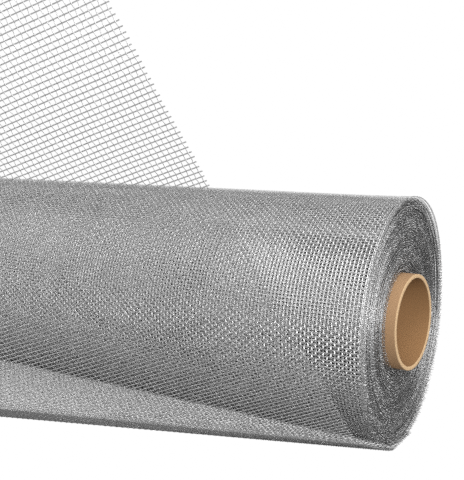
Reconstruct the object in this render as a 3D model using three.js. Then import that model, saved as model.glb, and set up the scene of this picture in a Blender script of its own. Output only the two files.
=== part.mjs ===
// Roll of aluminium insect screen on a cardboard tube, with a loose end that lifts off the floor.
// Millimetres, +Z up. The roll lies along X. The loose end leaves the roll's underside towards -Y.
// The origin is on the underside of the loose sheet, under the middle of the roll.

import * as THREE from 'three';

// Driving dimensions
const FABRIC_WIDTH = 600;
const ROLL_DIAMETER = 104;
const CORE_DIAMETER = 40;
const CORE_WALL = 1.6;
const CORE_OVERHANG = 7;
const SHEET_THICKNESS = 1;
const LOOSE_LENGTH = 255;
const CLEARANCE = 0.3;
const FLAT_SPOT_DEPTH = 0.5;
const ROLL_SIDES = 96;
const CORE_SIDES = 48;

// How the loose sheet comes off the roll: a little askew, its selvedge just past the roll's right end,
// and tucked a little way back under the roll
const SKEW = 5.3;
const SELVEDGE_SHIFT = 3;
const TUCK = 12;

// The bends of the loose sheet, in order from the roll.
// at: where the bend's middle crosses the right selvedge, measured from the roll's contact line
// spread: width of the bend, slant: its angle to the woven rows, turn: how far it lifts the sheet
const BENDS = [
  { at: 12, spread: 12, slant: 14.6, turn: 23.5, steps: 5 },
  { at: 58.5, spread: 20, slant: 30.4, turn: 35.5, steps: 7 },
  { at: 208, spread: 64, slant: 18.6, turn: 7.7, steps: 5 },
];

const HALF_WIDTH = FABRIC_WIDTH / 2;
const AXIS_HEIGHT = SHEET_THICKNESS + CLEARANCE + ROLL_DIAMETER / 2 - FLAT_SPOT_DEPTH;
const rad = THREE.MathUtils.degToRad;

const screenMetal = new THREE.MeshStandardMaterial({ color: 0x9a9c9e, roughness: 0.45, metalness: 0.9 });
const looseMetal = new THREE.MeshStandardMaterial({
  color: 0xb4b6b8, roughness: 0.4, metalness: 0.9, side: THREE.DoubleSide,
});
const cardboard = new THREE.MeshStandardMaterial({ color: 0xb08050, roughness: 0.85, metalness: 0 });

// A length of section along X, from an outline drawn in Y and Z
function alongX(outline, length, sides) {
  const geometry = new THREE.ExtrudeGeometry(outline, {
    depth: length, bevelEnabled: false, steps: 1, curveSegments: sides,
  });
  geometry.applyMatrix4(new THREE.Matrix4().makeBasis(
    new THREE.Vector3(0, 1, 0), new THREE.Vector3(0, 0, 1), new THREE.Vector3(1, 0, 0)));
  geometry.translate(-length / 2, 0, 0);
  return geometry;
}

function roundHole(radius) {
  return new THREE.Path().absarc(0, 0, radius, 0, 2 * Math.PI, true);
}

// The wound turns as one ring, with a small flat spot where the roll's weight presses on the floor
function woundRoll() {
  const radius = ROLL_DIAMETER / 2;
  const halfFlat = Math.acos((radius - FLAT_SPOT_DEPTH) / radius);
  const down = -Math.PI / 2;
  const outline = new THREE.Shape().absarc(0, 0, radius, down + halfFlat, down + 2 * Math.PI - halfFlat, false);
  outline.closePath();
  outline.holes.push(roundHole(CORE_DIAMETER / 2 + CLEARANCE));
  const mesh = new THREE.Mesh(alongX(outline, FABRIC_WIDTH, ROLL_SIDES), screenMetal);
  mesh.name = 'wound_roll';
  mesh.position.z = AXIS_HEIGHT;
  return mesh;
}

function coreTube() {
  const outline = new THREE.Shape().absarc(0, 0, CORE_DIAMETER / 2, 0, 2 * Math.PI, false);
  outline.holes.push(roundHole(CORE_DIAMETER / 2 - CORE_WALL));
  const mesh = new THREE.Mesh(alongX(outline, FABRIC_WIDTH + 2 * CORE_OVERHANG, CORE_SIDES), cardboard);
  mesh.name = 'core_tube';
  mesh.position.z = AXIS_HEIGHT;
  return mesh;
}

// Each bend is shared between narrow straight creases
function creases() {
  return BENDS.flatMap(({ at, spread, slant, turn, steps }) =>
    Array.from({ length: steps }, (_, i) => ({
      at: at + spread * ((i + 0.5) / steps - 0.5),
      slope: Math.tan(rad(slant)),
      axis: new THREE.Vector3(Math.cos(rad(slant)), Math.sin(rad(slant)), 0),
      turn: rad(turn / steps),
    })));
}

// The cut piece lies in u and v before it is bent: u runs from its right selvedge towards the left,
// v from the roll's contact line towards the free end. This matrix lays it on the floor.
function layOnFloor() {
  const s = Math.sin(rad(SKEW));
  const c = Math.cos(rad(SKEW));
  return new THREE.Matrix4()
    .makeBasis(new THREE.Vector3(-c, -s, 0), new THREE.Vector3(s, -c, 0), new THREE.Vector3(0, 0, 1))
    .setPosition(HALF_WIDTH + SELVEDGE_SHIFT, 0, SHEET_THICKNESS / 2);
}

// One matrix for each flat panel between creases: each crease turns all that lies beyond it
function panelMatrices(lines) {
  const matrices = [layOnFloor()];
  for (const { at, axis, turn } of lines) {
    const bend = new THREE.Matrix4().makeTranslation(0, at, 0)
      .multiply(new THREE.Matrix4().makeRotationAxis(axis, turn))
      .multiply(new THREE.Matrix4().makeTranslation(0, -at, 0));
    matrices.push(matrices.at(-1).clone().multiply(bend));
  }
  return matrices;
}

// The sheet's border in u and v, with a point wherever a crease meets it
function borderPoints(lines) {
  const rear = (u) => -(TUCK + u * Math.sin(rad(SKEW))) / Math.cos(rad(SKEW));
  const start = { right: [0, rear(0)], left: [FABRIC_WIDTH, rear(FABRIC_WIDTH)] };
  const rows = lines.map(({ at, slope }) => {
    const onLeft = at + FABRIC_WIDTH * slope < LOOSE_LENGTH;
    const left = onLeft ? [FABRIC_WIDTH, at + FABRIC_WIDTH * slope] : [(LOOSE_LENGTH - at) / slope, LOOSE_LENGTH];
    return { right: [0, at], left, onLeft };
  });
  return { start, rows, corner: [FABRIC_WIDTH, LOOSE_LENGTH], end: [0, LOOSE_LENGTH] };
}

function looseSheet() {
  const lines = creases();
  const matrices = panelMatrices(lines);
  const { start, rows, corner, end } = borderPoints(lines);
  const positions = [];
  const index = [];

  // Adds a border point's two vertices, on the inner and outer face, and returns the first one's number.
  // panels are the numbers of the panels that meet there.
  function addPoint([u, v], panels) {
    const middle = new THREE.Vector3(u, v, 0).applyMatrix4(matrices[panels[0]]);
    const normal = new THREE.Vector3();
    for (const k of panels) normal.add(new THREE.Vector3().setFromMatrixColumn(matrices[k], 2));
    normal.setLength(SHEET_THICKNESS / 2);
    positions.push(...middle.clone().add(normal), ...middle.sub(normal));
    return positions.length / 3 - 2;
  }

  // The points of each row of the sheet, right then left, from the tucked edge to the last crease
  const placed = [
    { right: addPoint(start.right, [0]), left: addPoint(start.left, [0]), onLeft: true },
    ...rows.map(({ right, left, onLeft }, i) => (
      { right: addPoint(right, [i, i + 1]), left: addPoint(left, [i, i + 1]), onLeft })),
  ];
  const cornerPanel = placed.findLastIndex((row) => row.onLeft);
  const cornerPoint = addPoint(corner, [cornerPanel]);
  const endPoint = addPoint(end, [matrices.length - 1]);

  // Each panel is a convex polygon, filled as a fan on both faces
  placed.forEach((row, k) => {
    const next = placed[k + 1];
    const polygon = [row.right, row.left];
    if (k === cornerPanel) polygon.push(cornerPoint);
    if (next) polygon.push(next.left, next.right);
    else polygon.push(endPoint);
    for (let i = 1; i + 1 < polygon.length; i += 1) {
      const [a, b, c] = [polygon[0], polygon[i], polygon[i + 1]];
      index.push(a, b, c, a + 1, c + 1, b + 1);
    }
  });

  // The edge faces go round the border
  const leftSide = placed.map((row) => row.left);
  leftSide.splice(cornerPanel + 1, 0, cornerPoint);
  const border = [placed[0].right, ...leftSide, endPoint, ...placed.slice(1).reverse().map((row) => row.right)];
  border.forEach((a, i) => {
    const b = border[(i + 1) % border.length];
    index.push(a, a + 1, b + 1, a, b + 1, b);
  });

  const geometry = new THREE.BufferGeometry();
  geometry.setAttribute('position', new THREE.Float32BufferAttribute(positions, 3));
  geometry.setIndex(index);
  geometry.computeVertexNormals();
  const mesh = new THREE.Mesh(geometry, looseMetal);
  mesh.name = 'loose_sheet';
  return mesh;
}

const roll = new THREE.Group();
roll.add(coreTube(), woundRoll(), looseSheet());

export default roll;
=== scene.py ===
# %% [markdown]
# # A roll of aluminium insect screen
# Insect screen is a plain weave of thin aluminium wire, sold wound on a cardboard tube. This lesson dresses
# the packed solids of such a roll: the wound turns, the tube and the loose end that lifts off the floor.
# The solids give every place and size, so the frame is loaded first.

# %% Load the frame
import math

import bmesh
import bpy
import numpy as np
from mathutils import Matrix, Vector


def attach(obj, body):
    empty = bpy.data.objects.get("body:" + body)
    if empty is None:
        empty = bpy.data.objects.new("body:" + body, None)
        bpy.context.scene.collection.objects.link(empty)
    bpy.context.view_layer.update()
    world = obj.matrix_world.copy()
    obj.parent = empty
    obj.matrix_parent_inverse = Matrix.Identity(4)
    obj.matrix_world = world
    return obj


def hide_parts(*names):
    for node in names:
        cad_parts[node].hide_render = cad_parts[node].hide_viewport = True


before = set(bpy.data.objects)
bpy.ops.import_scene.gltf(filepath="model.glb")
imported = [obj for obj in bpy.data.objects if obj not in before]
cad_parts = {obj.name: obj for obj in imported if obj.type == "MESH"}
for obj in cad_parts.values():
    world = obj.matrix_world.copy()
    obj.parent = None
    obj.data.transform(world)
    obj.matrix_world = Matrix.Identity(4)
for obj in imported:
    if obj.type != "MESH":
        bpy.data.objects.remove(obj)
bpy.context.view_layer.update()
MM = 0.001
rng = np.random.default_rng(18)
print("nodes:", sorted(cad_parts))

# %% [markdown]
# ## Camera
# The picture is taken from close by, a little above the roll and to the right of its end, so the near end
# looks larger than the far one. A long lens far away would lose that. The lens is given by its focal length
# in pixels, which is how a picture is measured, and turned into millimetres of a 36 mm sensor.

# %% Camera
PICTURE_HEIGHT = 480
FOCAL_PIXELS = 843.1
camera_data = bpy.data.cameras.new("camera")
camera_data.sensor_width = 36
camera_data.lens = FOCAL_PIXELS * camera_data.sensor_width / PICTURE_HEIGHT
camera_data.clip_start = 0.01
camera = bpy.data.objects.new("camera", camera_data)
camera.location = (0.4324, -0.3258, 0.1326)
camera.rotation_euler = (math.radians(82.40), 0, math.radians(33.51))
bpy.context.scene.collection.objects.link(camera)
bpy.context.scene.camera = camera
print(f"lens {camera_data.lens:.1f} mm")

# %% [markdown]
# ## Floor and light
# Bare metal shows its surroundings, so where light comes from matters more than how much of it there is. A
# strong soft lamp at the right front draws bright strokes on the roll's wires. One at the right is seen
# only by the wires that run along the loose end, and two weaker ones fill the roll's top and its left. A
# grey room and a dull floor keep its underside dark, and the camera alone sees both as white.

# %% Room


def light_path_mix(tree, plain, seen):
    """Gives the camera the shader seen, and every other ray the shader plain."""
    path = tree.nodes.new("ShaderNodeLightPath")
    mix = tree.nodes.new("ShaderNodeMixShader")
    tree.links.new(path.outputs["Is Camera Ray"], mix.inputs["Fac"])
    tree.links.new(plain.outputs[0], mix.inputs[1])
    tree.links.new(seen.outputs[0], mix.inputs[2])
    return mix


ROOM_GREY = 0.41
world = bpy.data.worlds.new("room")
bpy.context.scene.world = world
world.use_nodes = True
room = world.node_tree
room.nodes["Background"].inputs["Color"].default_value = (ROOM_GREY, ROOM_GREY, ROOM_GREY, 1)
backdrop = room.nodes.new("ShaderNodeBackground")
backdrop.inputs["Color"].default_value = (1, 1, 1, 1)
room_mix = light_path_mix(room, room.nodes["Background"], backdrop)
room.links.new(room_mix.outputs[0], room.nodes["World Output"].inputs["Surface"])
bpy.context.scene.view_settings.view_transform = "Standard"
bpy.context.scene.cycles.use_denoising = False
print("room grey:", ROOM_GREY)

# %% Floor
FLOOR_GREY = 0.22
FLOOR_HALF = 12
floor_mesh = bmesh.new()
bmesh.ops.create_grid(floor_mesh, x_segments=4, y_segments=4, size=FLOOR_HALF)
floor_data = bpy.data.meshes.new("floor")
floor_mesh.to_mesh(floor_data)
floor_mesh.free()
floor = bpy.data.objects.new("floor", floor_data)
bpy.context.scene.collection.objects.link(floor)
floor_paint = bpy.data.materials.new("pale_floor")
floor_paint.use_nodes = True
paint = floor_paint.node_tree
paint.nodes.remove(paint.nodes["Principled BSDF"])
dull = paint.nodes.new("ShaderNodeBsdfDiffuse")
dull.inputs["Color"].default_value = (FLOOR_GREY, FLOOR_GREY, FLOOR_GREY, 1)
white = paint.nodes.new("ShaderNodeEmission")
white.inputs["Strength"].default_value = 1.0
floor_mix = light_path_mix(paint, dull, white)
paint.links.new(floor_mix.outputs[0], paint.nodes["Material Output"].inputs["Surface"])
floor_data.materials.append(floor_paint)
print("floor:", [round(side, 1) for side in floor.dimensions], "m")

# %% Lamps
LAMPS_FACE = Vector((0.2, 0, 0.05))
# Name, place, width, height and watts
LAMPS = [
    ("right_front", (1.4, -1.3, 0.45), 0.9, 1.1, 33),
    ("right", (2.0, 0.0, 0.45), 0.9, 1.2, 14),
    ("overhead", (0.6, -0.2, 1.3), 0.9, 0.9, 11),
    ("left_front", (-1.1, -1.2, 0.5), 1.0, 1.2, 9),
]


def soft_lamp(name, place, width, height, watts):
    """A flat lamp at place that faces the near end of the roll and that the camera doesn't see."""
    data = bpy.data.lights.new(name, "AREA")
    data.shape = "RECTANGLE"
    data.size = width
    data.size_y = height
    data.energy = watts
    lamp = bpy.data.objects.new(name, data)
    lamp.location = place
    lamp.rotation_euler = (LAMPS_FACE - Vector(place)).to_track_quat("-Z", "Y").to_euler()
    lamp.visible_camera = False
    bpy.context.scene.collection.objects.link(lamp)


for row in LAMPS:
    soft_lamp(*row)
print("lamps:", [light.name for light in bpy.data.lights])

# %% [markdown]
# ## Shader groups
# The wire, the wound turns and the packed inside are the same metal, so its colour and roughness come from
# one group. A group is built once from small math nodes, and the two helpers below keep that readable: one
# fills a group, and one makes a material and wires groups to its Principled shader.

# %% Group helper


class Group:
    """A shader node group that is built by calling its methods."""

    def __init__(self, name, inputs, outputs):
        self.tree = bpy.data.node_groups.new(name, "ShaderNodeTree")
        for label, kind, value in inputs:
            socket = self.tree.interface.new_socket(name=label, in_out="INPUT", socket_type=kind)
            if value is not None:
                socket.default_value = value
        for label, kind in outputs:
            self.tree.interface.new_socket(name=label, in_out="OUTPUT", socket_type=kind)
        self.given = self.tree.nodes.new("NodeGroupInput").outputs
        self.result = self.tree.nodes.new("NodeGroupOutput").inputs

    def feed(self, socket, value):
        """Links value to socket, or writes it there when it is a plain number."""
        if isinstance(value, bpy.types.NodeSocket):
            self.tree.links.new(value, socket)
        elif value is not None:
            socket.default_value = value

    def math(self, operation, a, b=None, c=None):
        node = self.tree.nodes.new("ShaderNodeMath")
        node.operation = operation
        for socket, value in zip(node.inputs, (a, b, c)):
            self.feed(socket, value)
        return node.outputs[0]

    def noise(self, vector, scale, detail=3.0):
        node = self.tree.nodes.new("ShaderNodeTexNoise")
        self.feed(node.inputs["Vector"], vector)
        self.feed(node.inputs["Scale"], scale)
        node.inputs["Detail"].default_value = detail
        return node.outputs["Fac"]

    def between(self, value, low, high):
        """Maps a value of 0 to 1 onto low to high."""
        node = self.tree.nodes.new("ShaderNodeMapRange")
        self.feed(node.inputs["Value"], value)
        self.feed(node.inputs["To Min"], low)
        self.feed(node.inputs["To Max"], high)
        return node.outputs["Result"]

    def combine(self, x, y, z):
        node = self.tree.nodes.new("ShaderNodeCombineXYZ")
        for socket, value in zip(node.inputs, (x, y, z)):
            self.feed(socket, value)
        return node.outputs[0]

    def split(self, vector):
        node = self.tree.nodes.new("ShaderNodeSeparateXYZ")
        self.feed(node.inputs[0], vector)
        return node.outputs

    def mix(self, factor, a, b):
        """Mixes two colours."""
        node = self.tree.nodes.new("ShaderNodeMix")
        node.data_type = "RGBA"
        for socket, value in zip((node.inputs[0], node.inputs[6], node.inputs[7]), (factor, a, b)):
            self.feed(socket, value)
        return node.outputs[2]


print("group helper:", [name for name in vars(Group) if not name.startswith("_")])

# %% Finish helper


class Finish:
    """A material with one Principled shader, to which groups are wired by name."""

    def __init__(self, name, metallic, **constants):
        self.material = bpy.data.materials.new(name)
        self.material.use_nodes = True
        self.tree = self.material.node_tree
        self.shader = self.tree.nodes["Principled BSDF"]
        self.shader.inputs["Metallic"].default_value = metallic
        for label, value in constants.items():
            self.shader.inputs[label.replace("_", " ")].default_value = value

    def node(self, kind, **settings):
        made = self.tree.nodes.new(kind)
        for label, value in settings.items():
            setattr(made, label, value)
        return made

    def group(self, group, vector=None, **values):
        made = self.node("ShaderNodeGroup", node_tree=group.tree)
        if vector is not None:
            self.tree.links.new(vector, made.inputs["Vector"])
        for label, value in values.items():
            made.inputs[label].default_value = value
        return made

    def coordinates(self, uv_map=None):
        """Object coordinates, or the piece's own UV map."""
        if uv_map:
            return self.node("ShaderNodeUVMap", uv_map=uv_map).outputs[0]
        return self.node("ShaderNodeTexCoord").outputs["Object"]

    def wire(self, output, label):
        self.tree.links.new(output, self.shader.inputs[label])


print("finish helper:", [name for name in vars(Finish) if not name.startswith("_")])

# %% [markdown]
# ## Bare aluminium
# Screen wire is drawn aluminium with a thin oxide skin: light grey, a little cloudy from place to place,
# and neither mirror bright nor dull. Two noises do it, a broad one for the clouds and a fine one for the
# skin.

# %% Metal group
CLOUD_SCALE = 38.0
SKIN_SCALE = 900.0
CLOUD_SHARE = 0.6
SMOOTHEST = 0.28
METALLIC = 0.95
metal = Group(
    "bare_aluminium",
    [
        ("Vector", "NodeSocketVector", None),
        ("Dark", "NodeSocketColor", (0.62, 0.62, 0.62, 1)),
        ("Light", "NodeSocketColor", (0.86, 0.86, 0.86, 1)),
        ("Roughest", "NodeSocketFloat", 0.48),
    ],
    [("Color", "NodeSocketColor"), ("Roughness", "NodeSocketFloat")],
)
clouds = metal.noise(metal.given["Vector"], CLOUD_SCALE)
skin = metal.noise(metal.given["Vector"], SKIN_SCALE, 2.0)
tone = metal.math(
    "ADD", metal.math("MULTIPLY", clouds, CLOUD_SHARE), metal.math("MULTIPLY", skin, 1 - CLOUD_SHARE))
metal.feed(metal.result["Color"], metal.mix(tone, metal.given["Dark"], metal.given["Light"]))
metal.feed(metal.result["Roughness"], metal.between(skin, SMOOTHEST, metal.given["Roughest"]))

wire_finish = Finish("screen_wire", METALLIC)
wire_metal = wire_finish.group(metal, wire_finish.coordinates())
wire_finish.wire(wire_metal.outputs["Color"], "Base Color")
wire_finish.wire(wire_metal.outputs["Roughness"], "Roughness")
print("materials:", [material.name for material in bpy.data.materials])

# %% [markdown]
# ## The weave
# Window screen has 18 by 16 wires to the inch. The warp runs along the cloth and is 16 to the inch across
# it, and the weft crosses it 18 to the inch. On the loose end the weft lies further apart and looks heavier
# than the warp, as a cut end is handled and its wires slide.

# %% Weave sizes, in millimetres
INCH = 25.4
WARP_PITCH = INCH / 16
WEFT_PITCH = INCH / 18
WIRE = 0.28
WIDTH = 600.0
# How far the wires of the wound turns wave up and down. What the warp doesn't do, the weft does.
WARP_CRIMP = 0.32
WEFT_CRIMP = 2 * WIRE - WARP_CRIMP
# The loose end, where only the warp waves
LOOSE_CRIMP = WIRE
LOOSE_WEFT_PITCH = INCH / 15
LOOSE_WARP_WIRE = 0.24
LOOSE_WEFT_WIRE = 0.4
print(f"warp every {WARP_PITCH:.3f} mm, weft every {WEFT_PITCH:.3f} mm")

# %% [markdown]
# ## Strands and rows
# A wire is a ring of three points extruded from place to place. Three sides are enough for a wire thinner
# than a pixel, and the screen has tens of thousands of crossings. One wire, or a pair, is then repeated by
# an Array modifier, as a loom repeats it, and the result is read back as a plain mesh.

# %% Strand helpers
WIRE_SIDES = 3
QUARTER_TURN = math.radians(90)


def strand(bm, path, along, wire=WIRE):
    """Extrudes a small ring along path, whose points go steadily along the x or the y axis."""
    turn = Matrix.Rotation(QUARTER_TURN, 4, "Y" if along == "x" else "X")
    ring = bmesh.ops.create_circle(
        bm, segments=WIRE_SIDES, radius=wire / 2, matrix=Matrix.Translation(path[0]) @ turn)["verts"]
    edges = list({edge for vert in ring for edge in vert.link_edges})
    here = Vector(path[0])
    for point in path[1:]:
        made = bmesh.ops.extrude_edge_only(bm, edges=edges)["geom"]
        edges = [item for item in made if isinstance(item, bmesh.types.BMEdge)]
        verts = [item for item in made if isinstance(item, bmesh.types.BMVert)]
        bmesh.ops.translate(bm, verts=verts, vec=Vector(point) - here)
        here = Vector(point)


def as_mesh(bm, name):
    """The finished mesh of bm, with its faces turned outwards."""
    bmesh.ops.recalc_face_normals(bm, faces=bm.faces)
    mesh = bpy.data.meshes.new(name)
    bm.to_mesh(mesh)
    bm.free()
    return mesh


def repeated(mesh, count, step):
    """The mesh count times over, each copy moved on by step."""
    helper = bpy.data.objects.new("helper", mesh)
    bpy.context.scene.collection.objects.link(helper)
    array = helper.modifiers.new("row", "ARRAY")
    array.count = count
    array.use_relative_offset = False
    array.use_constant_offset = True
    array.constant_offset_displace = step
    made = bpy.data.meshes.new_from_object(helper.evaluated_get(bpy.context.evaluated_depsgraph_get()))
    bpy.data.objects.remove(helper)
    return made


def points_of(mesh):
    """A mesh's points as rows of x, y and z."""
    points = np.empty(len(mesh.vertices) * 3)
    mesh.vertices.foreach_get("co", points)
    return points.reshape(-1, 3)


def move_points(mesh, points):
    """Puts a mesh's points where the rows say."""
    mesh.vertices.foreach_set("co", points.ravel())
    mesh.update()


print("wires have", WIRE_SIDES, "sides")

# %% Piece helper


def piece(name, mesh, material):
    """A finished piece: its object sits at the origin and rides on the part's one body."""
    mesh.name = name
    mesh.materials.clear()
    mesh.materials.append(material)
    mesh.shade_smooth()
    made = bpy.data.objects.new(name, mesh)
    bpy.context.scene.collection.objects.link(made)
    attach(made, "root")
    mesh.calc_loop_triangles()
    print(f"{name}: {len(mesh.loop_triangles)} triangles")
    return made


print("pieces ride on the body root")

# %% [markdown]
# ## How the loose end is bent
# The loose end is one flat cut of screen, bent along straight lines, so the wires keep their lengths. Three
# slanting bends lift its near corner: one beside the roll, a stronger one further out and a soft one near
# the free end. The same numbers shape the solid, and here each bend is shared between more creases, so
# that the wires curve.

# %% Fold function
SKEW = math.radians(5.3)
SELVEDGE_SHIFT = 3.0
TUCK = 12.0
LOOSE_LENGTH = 255.0
SHEET_MIDDLE = 0.5
SHEET_THICKNESS = 2 * SHEET_MIDDLE
# Where the bend crosses the right selvedge, its width, its slant to the weft, its turn and its creases
BENDS = [(12, 12, 14.6, 23.5, 12), (58.5, 20, 30.4, 35.5, 16), (208, 64, 18.6, 7.7, 12)]


def lay_on_floor():
    """The place of the flat cut: u runs to the left from the right selvedge, v towards the free end."""
    s, c = math.sin(SKEW), math.cos(SKEW)
    return Matrix((
        (-c, s, 0, WIDTH / 2 + SELVEDGE_SHIFT),
        (-s, -c, 0, 0),
        (0, 0, 1, SHEET_MIDDLE),
        (0, 0, 0, 1),
    ))


def fold(points):
    """Bends points (u, v, height) of the flat cut as the loose end is bent. Millimetres in, metres out."""
    points = np.asarray(points, float)
    four = np.c_[points, np.ones(len(points))]
    place = lay_on_floor()
    folded = four @ np.array(place).T
    for at, spread, slant, turn, steps in BENDS:
        slope = math.tan(math.radians(slant))
        axis = Vector((math.cos(math.radians(slant)), math.sin(math.radians(slant)), 0))
        for step in range(steps):
            crease = at + spread * ((step + 0.5) / steps - 0.5)
            hinge = Matrix.Translation((0, crease, 0))
            place = place @ hinge @ Matrix.Rotation(math.radians(turn / steps), 4, axis) @ hinge.inverted()
            beyond = points[:, 1] > crease + points[:, 0] * slope
            folded[beyond] = four[beyond] @ np.array(place).T
    return folded[:, :3] * MM


corner = fold([(0, LOOSE_LENGTH, 0)])[0]
print("lifted corner at", corner.round(3))

# %% [markdown]
# ## The loose end
# It is woven flat: pairs of crimped warp wires, one over where its neighbour is under, and straight weft
# wires between them. The slanting rear edge under the roll is cut with a plane, the wire ends at the
# selvedges are left uneven, as shears leave them, and only then is the cut bent. Three pieces, side by
# side, keep each one light enough for its own file. No cloth simulation is needed: wire screen keeps the
# bends it is given.

# %% Wires of the loose end
PANELS = 3
PANEL_WIDTH = WIDTH / PANELS
WARP_PAIRS = 63
# The weft rows go on this far behind the contact line, past where the rear edge is cut
REAR_REACH = 70.0
WEFT_COUNT = int((LOOSE_LENGTH + REAR_REACH) / LOOSE_WEFT_PITCH)
FIRST_WEFT = LOOSE_LENGTH - LOOSE_WEFT_PITCH / 2
WEFT_RINGS = 26
# The wire ends at the selvedges, in a list that is long enough for every row to have its own
SHORTEST_END = 0.02
LONGEST_END = 0.4
END_COUNT = 997
end_lengths = rng.uniform(SHORTEST_END, LONGEST_END, END_COUNT)


def warp_pair(start):
    """Two neighbouring warp wires. One goes over the weft wires that the other goes under."""
    bm = bmesh.new()
    for side in (0, 1):
        u = start + (side + 0.5) * WARP_PITCH
        path = [(u, LOOSE_LENGTH + LONGEST_END, 0)]
        for row in range(WEFT_COUNT):
            path.append((u, FIRST_WEFT - row * LOOSE_WEFT_PITCH, LOOSE_CRIMP * (-1) ** (row + side)))
        strand(bm, path, "y", LOOSE_WARP_WIRE)
    return as_mesh(bm, "warp_pair")


def weft_wire(start):
    """One straight weft wire across a panel, with enough rings to follow the bends."""
    bm = bmesh.new()
    path = [(start + PANEL_WIDTH * k / (WEFT_RINGS - 1), FIRST_WEFT, 0) for k in range(WEFT_RINGS)]
    strand(bm, path, "x", LOOSE_WEFT_WIRE)
    return as_mesh(bm, "weft_wire")


print(f"{PANELS} panels, each of {2 * WARP_PAIRS} warp and {WEFT_COUNT} weft wires before the rear cut")

# %% Panels of the loose end


def cut_rear(bm):
    """Removes what lies behind the tucked rear edge, which runs parallel to the roll."""
    inside = (math.sin(SKEW), math.cos(SKEW), 0)
    bmesh.ops.bisect_plane(
        bm, geom=bm.verts[:] + bm.edges[:] + bm.faces[:],
        plane_co=(0, -TUCK / math.cos(SKEW), 0), plane_no=inside, clear_inner=True)


def woven_panel(number):
    """A third of the loose end's width, woven flat and cut at the rear."""
    start = number * PANEL_WIDTH
    bm = bmesh.new()
    bm.from_mesh(repeated(warp_pair(start), WARP_PAIRS, (2 * WARP_PITCH, 0, 0)))
    bm.from_mesh(repeated(weft_wire(start), WEFT_COUNT, (0, -LOOSE_WEFT_PITCH, 0)))
    cut_rear(bm)
    mesh = bpy.data.meshes.new("panel")
    bm.to_mesh(mesh)
    bm.free()
    return mesh


def uneven(points):
    """Lets the wires wander a little, and leaves their ends at the two selvedges uneven."""
    u, v = points[:, 0].copy(), points[:, 1].copy()
    row = np.rint((FIRST_WEFT - v) / LOOSE_WEFT_PITCH).astype(int) % END_COUNT
    overhang = end_lengths[row]
    points[:, 0] += np.where(u < 0.01, -overhang, 0) + np.where(u > WIDTH - 0.01, overhang, 0)
    # Along and across, the wander is a slow wave of the wires and a quicker, smaller one
    points[:, 0] += 0.16 * np.sin(v / 17 + u / 90) + 0.09 * np.sin(v / 5.3 + u / 31)
    points[:, 1] += 0.14 * np.sin(u / 23 + v / 70) + 0.08 * np.sin(u / 7.1 - v / 26)
    return points


longest_runs = []
for number, side in enumerate(("right", "middle", "left")):
    mesh = woven_panel(number)
    move_points(mesh, fold(uneven(points_of(mesh))))
    panel = piece(f"loose_end_{side}", mesh, wire_finish.material)
    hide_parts("loose_sheet")
    longest = LOOSE_LENGTH + (TUCK + (number + 1) * PANEL_WIDTH * math.sin(SKEW)) / math.cos(SKEW)
    longest_runs.append(longest)
print("longest run of each third:", [round(run) for run in longest_runs], "mm")

# %% [markdown]
# ## Winding
# The roll is one long strip wound in a spiral. A single function does that to any flat points: s is the
# distance along the strip from the tube, x the place across it and h the height off it. It also lets the
# last few turns spring away from the roll at the right end, and pushes that end's near side out, as on a
# roll that was stood on it.

# %% Sizes of the roll, in millimetres
ROLL_RADIUS = 52.0
CORE_RADIUS = 20.0
FLAT_SPOT = 0.5
CLEARANCE = 0.3
AXIS_HEIGHT = SHEET_THICKNESS + CLEARANCE + ROLL_RADIUS - FLAT_SPOT
TURN_PITCH = 0.47
# The first turn lies just off the tube, and the last one has its wires inside the roll's radius
FIRST_RADIUS = CORE_RADIUS + 0.55
LAST_RADIUS = ROLL_RADIUS - WIRE
TURNS = (LAST_RADIUS - FIRST_RADIUS) / TURN_PITCH
LAST_ANGLE = 2 * math.pi * TURNS


def length_at(angle):
    """The length of strip from the tube to a winding angle."""
    return FIRST_RADIUS * angle + TURN_PITCH * angle ** 2 / (4 * math.pi)


def angle_at(length):
    """The winding angle at a length of strip from the tube."""
    radius = np.sqrt(FIRST_RADIUS ** 2 + TURN_PITCH * length / math.pi)
    return (radius - FIRST_RADIUS) * 2 * math.pi / TURN_PITCH


STRIP = length_at(LAST_ANGLE)
print(f"{TURNS:.0f} turns, {STRIP / 1000:.1f} m of screen")

# %% Sprung turns and pushed side
# The sprung turns: how far they stand off, how deep that goes, where along the roll it starts to show, and
# the middle and the width of the place round the roll
SPRING_HEIGHT = 2.2
SPRING_DEPTH = 0.9
SPRING_START = 270
SPRING_MIDDLE = math.radians(52)
SPRING_WIDTH = math.radians(28)
# The pushed side: how far it goes, where along the roll it starts, and the direction opposite to it
NEAR_PUSH = 7.4
PUSH_START = 60
PUSH_AWAY_FROM = math.radians(-10)


def sprung(around):
    """1 where the outer turns spring away, high on the far side, and 0 elsewhere."""
    return np.exp(-(((around - SPRING_MIDDLE) / SPRING_WIDTH) ** 2))


def spring(x, around, depth):
    """How far a turn stands off the roll: most at the right end and in the outermost turns."""
    right_end = np.clip((x - SPRING_START) / (WIDTH / 2 - SPRING_START), 0, 1) ** 2
    return SPRING_HEIGHT * right_end * sprung(around) * np.clip(1 - depth / SPRING_DEPTH, 0, 1)


def pushed_out(x, around, radius):
    """How far the near side of the right end is pushed out along the roll."""
    ramp = np.clip((x - PUSH_START) / (WIDTH / 2 - PUSH_START), 0, 1)
    near = 0.5 - 0.5 * np.cos(around - PUSH_AWAY_FROM)
    return NEAR_PUSH * ramp ** 2 * (3 - 2 * ramp) * near * radius / ROLL_RADIUS


print("the outermost turn stands off by up to", spring(WIDTH / 2, SPRING_MIDDLE, 0), "mm")

# %% Wind function


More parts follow.
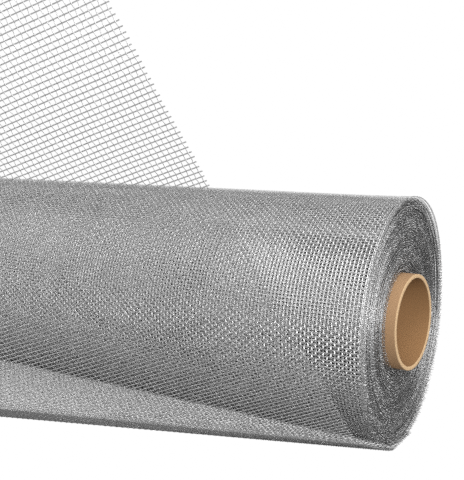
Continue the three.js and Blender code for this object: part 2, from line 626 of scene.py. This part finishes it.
def wind(points):
    """Winds flat points (x, s, h) into the roll. Millimetres in, metres out."""
    x, s, h = np.asarray(points, float).T
    angle = angle_at(s)
    radius = FIRST_RADIUS + TURN_PITCH * angle / (2 * math.pi)
    around = -math.pi / 2 + (LAST_ANGLE - angle)
    compass = (around + math.pi) % (2 * math.pi) - math.pi
    radius = radius + h + spring(x, compass, LAST_RADIUS - radius)
    z = np.maximum(radius * np.sin(around), FLAT_SPOT - ROLL_RADIUS)
    x = x + pushed_out(x, around, radius)
    return np.c_[x, radius * np.cos(around), z + AXIS_HEIGHT] * MM


print("the strip ends at", wind([(0, STRIP, 0)])[0].round(4))

# %% [markdown]
# ## The weave as a material
# The wound turns are seen only as a surface, so their weave is drawn by a material. The group finds the
# nearest warp and weft wire, decides which lies on top, and gives the cover, which is 0 in the openings
# between the wires, and the roundness and slope of each wire as a normal.

# %% Weave group
# A place without a wire ranks this far below any wire, and no normal lies flatter than this
NO_WIRE = 10.0
FLATTEST = 0.15
weave = Group(
    "plain_weave",
    [
        ("Vector", "NodeSocketVector", None),
        ("Wire", "NodeSocketFloat", WIRE * MM),
    ],
    [("Cover", "NodeSocketFloat"), ("Normal", "NodeSocketVector")],
)


def weave_group(w):
    """Fills the weave group: one half for the warp, one for the weft, then the one on top."""
    across, along, _ = w.split(w.given["Vector"])
    radius = w.math("MULTIPLY", w.given["Wire"], 0.5)
    a = w.math("DIVIDE", across, WARP_PITCH * MM)
    b = w.math("DIVIDE", along, WEFT_PITCH * MM)
    warp_number, weft_number = w.math("ROUND", a), w.math("ROUND", b)

    def half(position, number, pitch, other, other_pitch, crimp_height):
        """Offset from the wire's middle in radii, whether it is there, its dome, its slope and its rank."""
        distance = w.math("MULTIPLY", w.math("SUBTRACT", position, number), pitch * MM)
        offset = w.math("DIVIDE", distance, radius)
        covered = w.math("LESS_THAN", w.math("ABSOLUTE", offset), 1.0)
        phase = w.math("MULTIPLY", w.math("ADD", other, number), math.pi)
        crimp = w.math("MULTIPLY", w.math("COSINE", phase), 0.5 * crimp_height)
        slope = w.math("MULTIPLY", w.math("SINE", phase), 0.5 * crimp_height * math.pi / other_pitch)
        squared = w.math("SUBTRACT", 1.0, w.math("MULTIPLY", offset, offset))
        dome = w.math("SQRT", w.math("MAXIMUM", squared, 0.0))
        height = w.math("ADD", crimp, w.math("MULTIPLY", dome, WIRE / 2))
        rank = w.math("SUBTRACT", height, w.math("MULTIPLY", w.math("SUBTRACT", 1.0, covered), NO_WIRE))
        return offset, covered, dome, slope, rank

    warp = half(a, warp_number, WARP_PITCH, b, WEFT_PITCH, WARP_CRIMP)
    weft = half(b, weft_number, WEFT_PITCH, a, WARP_PITCH, -WEFT_CRIMP)
    warp_on_top = w.math("GREATER_THAN", warp[4], weft[4])
    warp_normal = w.combine(warp[0], warp[3], w.math("MAXIMUM", warp[2], FLATTEST))
    weft_normal = w.combine(weft[3], weft[0], w.math("MAXIMUM", weft[2], FLATTEST))
    normal = w.mix(warp_on_top, weft_normal, warp_normal)
    unit = w.tree.nodes.new("ShaderNodeVectorMath")
    unit.operation = "NORMALIZE"
    w.feed(unit.inputs[0], normal)
    shifted = w.tree.nodes.new("ShaderNodeVectorMath")
    shifted.operation = "MULTIPLY_ADD"
    w.feed(shifted.inputs[0], unit.outputs[0])
    shifted.inputs[1].default_value = (0.5, 0.5, 0.5)
    shifted.inputs[2].default_value = (0.5, 0.5, 0.5)
    to_normal = w.tree.nodes.new("ShaderNodeNormalMap")
    to_normal.space = "TANGENT"
    to_normal.uv_map = "weave"
    w.feed(to_normal.inputs["Color"], shifted.outputs[0])
    w.feed(w.result["Cover"], w.math("MAXIMUM", warp[1], weft[1]))
    w.feed(w.result["Normal"], to_normal.outputs[0])


weave_group(weave)
print("weave nodes:", len(weave.tree.nodes))

# %% Finish of the wound turns
turn_finish = Finish("wound_screen", METALLIC)
turn_weave = turn_finish.group(weave, turn_finish.coordinates("weave"))
turn_metal = turn_finish.group(metal, turn_finish.coordinates())
turn_finish.wire(turn_metal.outputs["Color"], "Base Color")
turn_finish.wire(turn_metal.outputs["Roughness"], "Roughness")
turn_finish.wire(turn_weave.outputs["Cover"], "Alpha")
turn_finish.wire(turn_weave.outputs["Normal"], "Normal")
print("fed by groups:", [socket.name for socket in turn_finish.shader.inputs if socket.is_linked])

# %% [markdown]
# ## The outer turns
# Through the openings of the outermost turn the next ones show, and where their wires fall between its
# wires the roll gets its rippled look. So the last three turns are a real spiral strip with open weave,
# cut flat as a grid and wound. Its flat coordinates are the weave's own, but for a few tenths of a
# millimetre by which the wires stray from their rows, so that the turns fall in and out of step in patches.

# %% Outer turns
SHOWN_TURNS = 3
TURN_STEPS = 120
LENGTH_STEPS = 48
STRAY_ACROSS = 0.08
STRAY_ALONG = 0.24
SLOW_STRAY_ALONG = 0.12


def stray(x, s):
    """The weave's coordinates at a place of the strip, in metres, from its millimetres."""
    across = x + STRAY_ACROSS * math.sin(s / 21 + x / 47)
    along = s + STRAY_ALONG * math.sin(s / 8 + x / 60) + SLOW_STRAY_ALONG * math.sin(x / 40 - s / 31)
    return across * MM, along * MM


def outer_strip():
    """The last turns as one wound grid, with the weave's coordinates on it."""
    start = length_at(LAST_ANGLE - 2 * math.pi * SHOWN_TURNS)
    bm = bmesh.new()
    bmesh.ops.create_grid(bm, x_segments=LENGTH_STEPS, y_segments=SHOWN_TURNS * TURN_STEPS, size=0.5)
    layer = bm.loops.layers.uv.new("weave")
    for vert in bm.verts:
        vert.co.x *= WIDTH
        vert.co.y = start + (vert.co.y + 0.5) * (STRIP - start)
    for face in bm.faces:
        for loop in face.loops:
            loop[layer].uv = stray(loop.vert.co.x, loop.vert.co.y)
    mesh = bpy.data.meshes.new("outer_strip")
    bm.to_mesh(mesh)
    bm.free()
    move_points(mesh, wind(points_of(mesh)))
    return mesh


piece("outer_turns", outer_strip(), turn_finish.material)

# %% [markdown]
# ## The turns inside
# Below the third turn the wires are packed so close that nothing shows between them, so the rest of the
# roll is one closed ring, turned by spinning its section. It is dark between its wires, as the light hardly
# gets there, and it wears the same weave where it shows through the openings.

# %% Ring helpers
SPIN_STEPS = 128


def turned_ring(outer, inner, half_length, bevel):
    """A ring along x, made by spinning its section once round the axis."""
    bm = bmesh.new()
    section = [bm.verts.new((x, r, 0)) for x, r in (
        (-half_length, inner), (half_length, inner), (half_length, outer), (-half_length, outer))]
    edges = [bm.edges.new((section[i], section[(i + 1) % 4])) for i in range(4)]
    bmesh.ops.bevel(bm, geom=section, offset=bevel, offset_type="OFFSET", segments=3, profile=0.5,
                    affect="VERTICES", material=-1)
    bmesh.ops.spin(bm, geom=bm.verts[:] + bm.edges[:], cent=(0, 0, 0), axis=(1, 0, 0), steps=SPIN_STEPS,
                   angle=2 * math.pi, use_merge=True)
    bmesh.ops.remove_doubles(bm, verts=bm.verts, dist=1e-4)
    return as_mesh(bm, "ring")


def unroll_uv(mesh, radius):
    """Gives a ring along x the weave's coordinates: the distance along it and the distance round it."""
    layer = mesh.uv_layers.new(name="weave")
    loops = np.empty(len(mesh.loops), int)
    mesh.loops.foreach_get("vertex_index", loops)
    spots = points_of(mesh)[loops]
    round_it = np.arctan2(spots[:, 2], spots[:, 1])
    for polygon in mesh.polygons:
        span = slice(polygon.loop_start, polygon.loop_start + polygon.loop_total)
        if np.ptp(round_it[span]) > math.pi:
            round_it[span] = np.where(round_it[span] < 0, round_it[span] + 2 * math.pi, round_it[span])
    layer.data.foreach_set("uv", np.c_[spots[:, 0], round_it * radius].ravel() * MM)


def placed(mesh):
    """Sets a ring made round the x axis on the roll's axis, with the flat spot below, in metres."""
    points = points_of(mesh)
    points[:, 2] = np.maximum(points[:, 2], FLAT_SPOT - ROLL_RADIUS) + AXIS_HEIGHT
    move_points(mesh, points * MM)
    return mesh


def pushed(mesh):
    """Pushes a ring's near side out at the right end, as the turns round it are."""
    points = points_of(mesh)
    around, radius = np.arctan2(points[:, 2], points[:, 1]), np.hypot(points[:, 1], points[:, 2])
    points[:, 0] += pushed_out(points[:, 0], around, radius)
    move_points(mesh, points)
    return mesh


print("rings are spun in", SPIN_STEPS, "steps")

# %% Inner turns
# The ring lies just under the shown turns, and its faces lie behind the selvedges of its turns
INNER_RADIUS = LAST_RADIUS - (SHOWN_TURNS + 0.15) * TURN_PITCH
INNER_HALF = WIDTH / 2 - 2.5
INNER_BEVEL = 0.4
BETWEEN_WIRES = (0.1, 0.1, 0.1, 1)
inner_finish = Finish("packed_screen", 0.9)
inner_weave = inner_finish.group(weave, inner_finish.coordinates("weave"))
inner_metal = inner_finish.group(metal, inner_finish.coordinates())
inner_shade = inner_finish.node("ShaderNodeMix", data_type="RGBA", blend_type="MIX")
inner_shade.inputs[6].default_value = BETWEEN_WIRES
inner_finish.tree.links.new(inner_weave.outputs["Cover"], inner_shade.inputs[0])
inner_finish.tree.links.new(inner_metal.outputs["Color"], inner_shade.inputs[7])
inner_finish.wire(inner_shade.outputs[2], "Base Color")
inner_finish.wire(inner_metal.outputs["Roughness"], "Roughness")
inner_finish.wire(inner_weave.outputs["Normal"], "Normal")
inner_mesh = turned_ring(INNER_RADIUS, CORE_RADIUS + CLEARANCE, INNER_HALF, INNER_BEVEL)
unroll_uv(inner_mesh, INNER_RADIUS)
inner_turns = piece("inner_turns", placed(pushed(inner_mesh)), inner_finish.material)
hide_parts("wound_roll")

# %% [markdown]
# ## The ends of the roll
# At each end the selvedge of every turn shows as a ring, and the cut weft wires bristle out of it. The
# selvedge is one long wire wound with the rest, and the cut ends are thousands of tiny three-sided cones
# of uneven length. The turns never line up exactly, so each turn is moved in or out a little. The ends are
# worn short inside the roll, where the turns spring away and along the far rim.

# %% How the turns line up
# How far a turn slips against the one before, a ripple over the turns, and the most that a turn moves
DRIFT = 0.33
RIPPLE = 0.5
RIPPLE_STEP = 3.35
SLIP_RANGE = (-1.1, 0.6)
drift = np.cumsum(rng.normal(0, DRIFT, int(TURNS) + 3))
drift -= np.linspace(drift[0], drift[-1], len(drift))


def telescoped(points, end):
    """Pushes each turn of an end in or out by its own drift."""
    turn = angle_at(np.clip(points[:, 1], 0, STRIP)) / (2 * math.pi)
    slip = np.interp(turn, np.arange(len(drift)), drift) + RIPPLE * np.sin(RIPPLE_STEP * turn)
    points[:, 0] += end * np.clip(slip, *SLIP_RANGE)
    return points


print("turns drift by", drift.min().round(2), "to", drift.max().round(2), "mm")

# %% Selvedge and cut ends
EDGE_STEP = 4.5
SELVEDGE = WIDTH / 2 - 0.6
TIP_LENGTH = 1.3
TIP_MIDDLE = SELVEDGE + TIP_LENGTH / 2
# How unlike two tips are in length, how much a worn one loses, and how far tips lean and rise
TIP_GROWTH = (-0.7, 0.4)
TIP_WEAR = 1.15
TIP_LEAN = 0.22
TIP_RISE = 0.12


def selvedge(end):
    """The edge wire of the whole strip, still straight."""
    bm = bmesh.new()
    strand(bm, [(end * SELVEDGE, k * EDGE_STEP, 0) for k in range(2)], "y")
    return repeated(as_mesh(bm, "selvedge"), int(STRIP / EDGE_STEP), (0, EDGE_STEP, 0))


def worn(around, depth):
    """0 where the cut ends are whole and 1 where they are worn away, by their angle and depth in the roll."""
    # At the rim the wear is gone 2.1 mm deep. Inside the roll it starts 2 mm deep and is full at 4 mm.
    rim = np.maximum(sprung(around), 0.5 * np.clip(np.cos(around), 0, 1)) * np.clip(1.4 - depth / 1.5, 0, 1)
    return np.maximum(rim, 0.6 * np.clip(depth / 2 - 1, 0, 1))


def cut_ends(end):
    """The cut weft ends along the whole strip, still straight, and in their order along it."""
    bm = bmesh.new()
    turn = Matrix.Rotation(QUARTER_TURN * end, 4, "Y")
    middle = Matrix.Translation((end * TIP_MIDDLE, 0.5 * WEFT_PITCH, 0))
    bmesh.ops.create_cone(bm, segments=WIRE_SIDES, radius1=WIRE / 2, radius2=WIRE / 5, depth=TIP_LENGTH,
                          cap_ends=False, matrix=middle @ turn)
    count = int(STRIP / WEFT_PITCH) - 1
    mesh = repeated(as_mesh(bm, "tip"), count, (0, WEFT_PITCH, 0))
    points = points_of(mesh)
    number = np.arange(len(points)) // (2 * WIRE_SIDES)
    outer = np.abs(points[:, 0]) > TIP_MIDDLE
    angle = angle_at((np.arange(count) + 0.5) * WEFT_PITCH)
    around = (LAST_ANGLE - angle + math.pi / 2) % (2 * math.pi) - math.pi
    depth = TURN_PITCH * (LAST_ANGLE - angle) / (2 * math.pi)
    wear = worn(around, depth)
    grow = (rng.uniform(*TIP_GROWTH, count) * (1 - wear) - TIP_WEAR * wear)[number]
    lean = rng.normal(0, TIP_LEAN, count)[number]
    rise = rng.normal(0, TIP_RISE, count)[number]
    points[outer, 0] += end * grow[outer]
    points[outer, 1] += lean[outer]
    points[outer, 2] += rise[outer]
    move_points(mesh, points)
    return mesh


print("cut ends on each side:", int(STRIP / WEFT_PITCH) - 1)

# %% [markdown]
# ## The wire at the ends
# The cut ends are painted darker than the wound wire, a painted shade for the little light that gets between
# their neighbours. Towards the rim on the near side they are painted bright, a painted highlight where the
# light falls. One more group mixes the two by the direction from the axis, with a noise that breaks the
# border up.

# %% Painted highlight group
# The painted highlight on the near side: its direction from the axis, from where and over what distance along
# it the wire is painted bright, and the scale of the patches that break the border up
PAINTED_HIGHLIGHT_UP = 0.37
PAINTED_HIGHLIGHT_NEAR = 0.93
PAINTED_HIGHLIGHT_FROM = 0.022
PAINTED_HIGHLIGHT_FADE = 0.02
PAINTED_HIGHLIGHT_PATCHES = 400.0
painted_highlight = Group(
    "painted_highlight_side",
    [
        ("Vector", "NodeSocketVector", None),
        ("Color", "NodeSocketColor", (0.8, 0.8, 0.8, 1)),
        ("Dull", "NodeSocketColor", (0.5, 0.5, 0.5, 1)),
    ],
    [("Color", "NodeSocketColor")],
)


def painted_highlight_group(g):
    """Wire in its painted shaded colour, but painted bright towards the rim on the near side, a painted
    highlight.
    """
    _, y, z = g.split(g.given["Vector"])
    up = g.math("SUBTRACT", z, AXIS_HEIGHT * MM)
    near = g.math("SUBTRACT", g.math("MULTIPLY", up, PAINTED_HIGHLIGHT_UP), g.math("MULTIPLY", y, PAINTED_HIGHLIGHT_NEAR))
    share = g.math("DIVIDE", g.math("SUBTRACT", near, PAINTED_HIGHLIGHT_FROM), PAINTED_HIGHLIGHT_FADE)
    patch = g.noise(g.given["Vector"], PAINTED_HIGHLIGHT_PATCHES, 2.0)
    # Painted highlight: 1 where the near side is painted bright for the light that falls there, 0 on the
    # painted shaded rest
    painted_bright = g.between(g.math("ADD", share, g.math("SUBTRACT", patch, 0.5)), 0.0, 1.0)
    g.feed(g.result["Color"], g.mix(painted_bright, g.given["Dull"], g.given["Color"]))


painted_highlight_group(painted_highlight)
print("handled side nodes:", len(painted_highlight.tree.nodes))

# %% Build both ends
# Painted shade: the end wire gets darker colours than the wound wire, and a darker one still away from the
# near side, for the little light that gets between the cut ends
end_finish = Finish("end_wire", METALLIC)
end_metal = end_finish.group(
    metal, end_finish.coordinates(), Dark=(0.56, 0.56, 0.56, 1), Light=(0.78, 0.78, 0.78, 1))
end_light_and_shade = end_finish.group(painted_highlight, end_finish.coordinates(), Dull=(0.43, 0.43, 0.43, 1))
end_finish.tree.links.new(end_metal.outputs["Color"], end_light_and_shade.inputs["Color"])
end_finish.wire(end_light_and_shade.outputs["Color"], "Base Color")
end_finish.wire(end_metal.outputs["Roughness"], "Roughness")
for name, end in (("right", 1), ("left", -1)):
    for label, made in (("selvedge", selvedge(end)), ("cut_ends", cut_ends(end))):
        move_points(made, wind(telescoped(points_of(made), end)))
        piece(f"{label}_{name}", made, end_finish.material)

# %% [markdown]
# ## The tube
# The core is a spiral-wound kraft paper tube. Its ends are sawn, so they show the paler core of the board,
# and a faint seam winds along it. The finish reads object coordinates: the distance along the axis tells the
# sawn rims, and the distance from it tells the tube's outside from its inside, which is painted darker, a
# painted shade for the light that hardly gets in.

# %% Board group
CORE_WALL = 1.6
CORE_HALF = WIDTH / 2 + 7
# The seam's advance in one turn and its width as a share of that, and how deep the saw's cut shows
SEAM_LEAD = 0.11
SEAM_SHARE = 0.006
SAWN_DEPTH = 0.35
FIBRE_SCALE = 700.0
BLOTCH_SCALE = 60.0
STAIN = (0.1, 0.055, 0.025, 1)
board = Group(
    "kraft_board",
    [
        ("Vector", "NodeSocketVector", None),
        ("Paper", "NodeSocketColor", (0.34, 0.205, 0.108, 1)),
        ("Inside", "NodeSocketColor", (0.25, 0.133, 0.055, 1)),
        ("Cut", "NodeSocketColor", (0.5, 0.35, 0.2, 1)),
    ],
    [("Color", "NodeSocketColor"), ("Roughness", "NodeSocketFloat"), ("Height", "NodeSocketFloat")],
)


def board_group(g):
    """Paper fibres, the spiral seam and the paler sawn ends."""
    x, y, z = g.split(g.given["Vector"])
    up = g.math("SUBTRACT", z, AXIS_HEIGHT * MM)
    around = g.math("ARCTAN2", up, y)
    lead = g.math("ADD", g.math("DIVIDE", x, SEAM_LEAD), g.math("DIVIDE", around, 2 * math.pi))
    seam = g.math("PINGPONG", lead, 0.5)
    line = g.math("LESS_THAN", seam, SEAM_SHARE)
    fibres = g.noise(g.combine(g.math("MULTIPLY", x, 0.4), y, z), FIBRE_SCALE, 4.0)
    blotches = g.noise(g.given["Vector"], BLOTCH_SCALE)
    sawn = g.math("GREATER_THAN", g.math("ABSOLUTE", x), (CORE_HALF - SAWN_DEPTH) * MM)
    from_axis = g.math("SQRT", g.math("ADD", g.math("MULTIPLY", y, y), g.math("MULTIPLY", up, up)))
    # Painted shade: the tube's inside is painted darker than its outside
    inside = g.math("LESS_THAN", from_axis, (CORE_RADIUS - CORE_WALL / 2) * MM)
    face = g.mix(inside, g.given["Paper"], g.given["Inside"])
    dark = g.mix(0.4, face, STAIN)
    paper = g.mix(g.between(fibres, 0.0, 0.18), face, dark)
    paper = g.mix(g.between(blotches, 0.0, 0.25), paper, dark)
    paper = g.mix(g.math("MULTIPLY", line, 0.45), paper, dark)
    pale = g.mix(g.between(fibres, 0.0, 0.5), g.given["Cut"], g.given["Paper"])
    g.feed(g.result["Color"], g.mix(sawn, paper, pale))
    g.feed(g.result["Roughness"], g.between(fibres, 0.72, 0.95))
    g.feed(g.result["Height"], g.math("SUBTRACT", fibres, g.math("MULTIPLY", line, 1.5)))


board_group(board)
print("board nodes:", len(board.tree.nodes))

# %% Tube
CORE_BEVEL = 0.25
tube_finish = Finish("kraft_tube", 0.0, Specular_IOR_Level=0.3)
tube_board = tube_finish.group(board, tube_finish.coordinates())
tube_bump = tube_finish.node("ShaderNodeBump")
tube_bump.inputs["Strength"].default_value = 0.15
tube_bump.inputs["Distance"].default_value = 0.0002
tube_finish.tree.links.new(tube_board.outputs["Height"], tube_bump.inputs["Height"])
tube_finish.wire(tube_board.outputs["Color"], "Base Color")
tube_finish.wire(tube_board.outputs["Roughness"], "Roughness")
tube_finish.wire(tube_bump.outputs[0], "Normal")
tube_mesh = turned_ring(CORE_RADIUS, CORE_RADIUS - CORE_WALL, CORE_HALF, CORE_BEVEL)
tube = piece("kraft_core", placed(tube_mesh), tube_finish.material)
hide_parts("core_tube")

# %% [markdown]
# ## Size
# The dressed roll has to fill the solids' box and not outgrow it.
